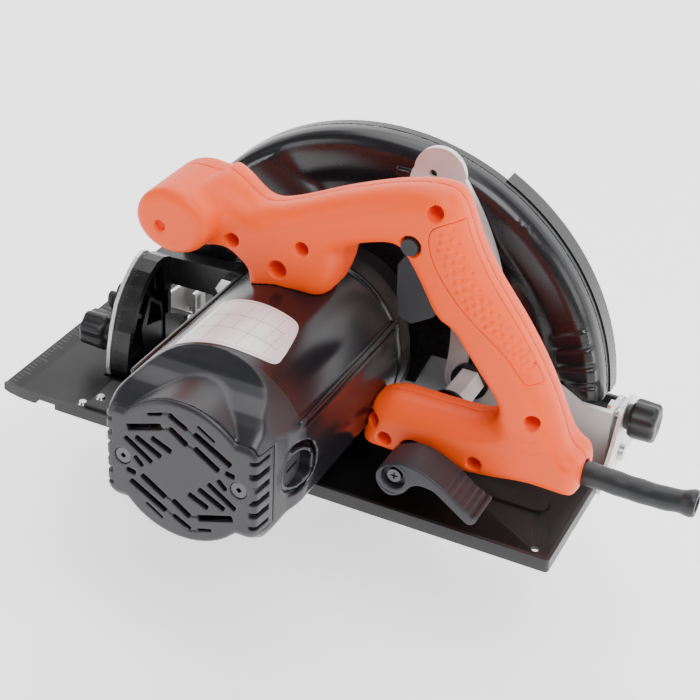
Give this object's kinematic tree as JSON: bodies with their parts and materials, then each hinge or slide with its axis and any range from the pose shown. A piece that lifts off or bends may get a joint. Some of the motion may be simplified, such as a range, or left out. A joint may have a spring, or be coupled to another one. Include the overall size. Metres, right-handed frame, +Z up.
{
  "type": "circular saw",
  "caption": "Hand-held circular saw with D-handle and front knob, sheet sole with blade slot, bevel brackets front and rear, swinging lower guard and side motor.",
  "frame": {"origin": "centre of the sole's underside, midway along its length and width", "axes": "+X is the cutting direction, +Y is towards the motor, +Z is up, away from the work"},
  "size_m": [0.356, 0.2305, 0.2461],
  "materials": {
    "black_base_paint": "satin black coating",
    "zinc_plate": "zinc-plated sheet",
    "bright_steel": "plated",
    "dark_steel": "black oxide",
    "grey_plastic": "fine grain",
    "dark_grey_plastic": "fine grain",
    "black_casting": "satin black coating",
    "black_guard_paint": "satin black coating",
    "spring_steel": "plain",
    "bearing_steel": "ground",
    "black_gloss_plastic": "satin gloss",
    "plate_silver": "blank brushed foil",
    "core_steel": "laminated",
    "copper_wire": "varnished",
    "brass_parts": "plain",
    "carbon": "plain",
    "orange_plastic": "satin",
    "black_rubber": "matte",
    "guard_aluminium": "plain",
    "blade_steel": "ground",
    "carbide": "ground"
  },
  "bodies": {
    "base": {"base_plate": "black_base_paint", "front_quadrant_plate": "zinc_plate", "front_strap": "black_base_paint", "rear_quadrant_plate": "zinc_plate", "bracket_rivets": "bright_steel", "bevel_pivot_pins": "bright_steel"},
    "fence_screw": {"fence_wing_screw": "grey_plastic"},
    "tilt_frame": {"front_tilt_casting": "black_casting", "depth_arc": "zinc_plate", "bevel_studs": "bright_steel"},
    "front_knob": {"front_bevel_knob": "grey_plastic"},
    "rear_knob": {"rear_bevel_knob": "grey_plastic"},
    "saw_body": {"upper_guard_near_half": "black_guard_paint", "upper_guard_far_half": "black_guard_paint", "guard_screws": "bright_steel", "guard_spring": "spring_steel", "gear_housing": "black_casting", "bearing_bracket": "black_casting", "bearings": "bearing_steel", "motor_housing": "black_gloss_plastic", "rating_plate": "plate_silver", "stator": "core_steel", "field_windings": "copper_wire", "brush_holders": "brass_parts", "carbon_brushes": "carbon", "brush_springs": "spring_steel", "brush_caps": "grey_plastic", "end_cap": "dark_grey_plastic", "end_cap_screws": "dark_steel", "handle_near_half": "orange_plastic", "handle_far_half": "orange_plastic", "handle_screws": "dark_steel", "switch_block": "dark_grey_plastic", "cord_clamp": "dark_grey_plastic", "cord_boot": "black_rubber", "depth_stud": "bright_steel", "depth_washers": "black_casting", "depth_long_nut": "dark_steel", "depth_pivot_bolt": "bright_steel", "depth_pivot_nut": "bright_steel"},
    "lower_guard_group": {"lower_guard": "guard_aluminium", "guard_lever": "dark_grey_plastic"},
    "spindle_group": {"spindle": "bearing_steel", "spindle_gear": "bearing_steel", "inner_flange": "dark_steel", "saw_blade": "blade_steel", "carbide_tips": "carbide", "outer_flange": "dark_steel", "blade_bolt": "dark_steel"},
    "armature_group": {"armature_shaft": "bearing_steel", "motor_pinion": "bearing_steel", "armature_core": "core_steel", "armature_windings": "copper_wire", "commutator": "copper_wire", "fan": "dark_grey_plastic"},
    "trigger_group": {"trigger": "dark_grey_plastic"},
    "lock_off_group": {"lock_off_button": "dark_grey_plastic"},
    "depth_lever_group": {"depth_lever": "grey_plastic", "depth_lever_screw": "bright_steel"}
  },
  "joints": [
    {"name": "bevel_tilt", "type": "hinge", "parent": "base", "child": "tilt_frame", "pos_m": [0, -0.024, 0.008], "axis": [1, 0, 0], "range_deg": [0, 45]},
    {"name": "depth_pivot", "type": "hinge", "parent": "tilt_frame", "child": "saw_body", "pos_m": [0.06, -0.011, 0.05], "axis": [0, 1, 0], "range_deg": [0, 45]},
    {"name": "lower_guard_swing", "type": "hinge", "parent": "saw_body", "child": "lower_guard_group", "pos_m": [-0.014, -0.024, 0.03], "axis": [0, 1, 0], "range_deg": [0, 120], "stiffness_Nm_per_rad": 0.35, "springref_deg": -45.84},
    {"name": "spindle_spin", "type": "hinge", "parent": "saw_body", "child": "spindle_group", "pos_m": [-0.014, -0.01, 0.03], "axis": [0, 1, 0], "continuous": true},
    {"name": "armature_spin", "type": "hinge", "parent": "saw_body", "child": "armature_group", "pos_m": [-0.003, 0.08, 0.05466], "axis": [0, 1, 0], "continuous": true},
    {"name": "trigger_pull", "type": "hinge", "parent": "saw_body", "child": "trigger_group", "pos_m": [-0.065, 0.045, 0.127], "axis": [0, 1, 0], "range_deg": [0, 8], "stiffness_Nm_per_rad": 0.4, "springref_deg": -11.46},
    {"name": "lock_off_press", "type": "slide", "parent": "saw_body", "child": "lock_off_group", "axis": [0, -1, 0], "range_m": [0, 0.003], "stiffness_N_per_m": 400, "springref_m": -0.002},
    {"name": "depth_lever_turn", "type": "hinge", "parent": "saw_body", "child": "depth_lever_group", "pos_m": [-0.07319, 0.07, 0.03128], "axis": [0, 1, 0], "range_deg": [0, 50]},
    {"name": "front_knob_turn", "type": "hinge", "parent": "tilt_frame", "child": "front_knob", "pos_m": [0.12, 0.02904, 0.02401], "axis": [1, 0, 0], "continuous": true},
    {"name": "rear_knob_turn", "type": "hinge", "parent": "tilt_frame", "child": "rear_knob", "pos_m": [-0.16, -0.024, 0.03], "axis": [-1, 0, 0], "continuous": true},
    {"name": "fence_screw_turn", "type": "hinge", "parent": "base", "child": "fence_screw", "pos_m": [0.125, 0.004, 0.02], "axis": [0, 0, 1], "continuous": true}
  ],
  "couplings": [
    {"joint": "armature_spin", "follows": "spindle_spin", "ratio": -3.9091}
  ]
}
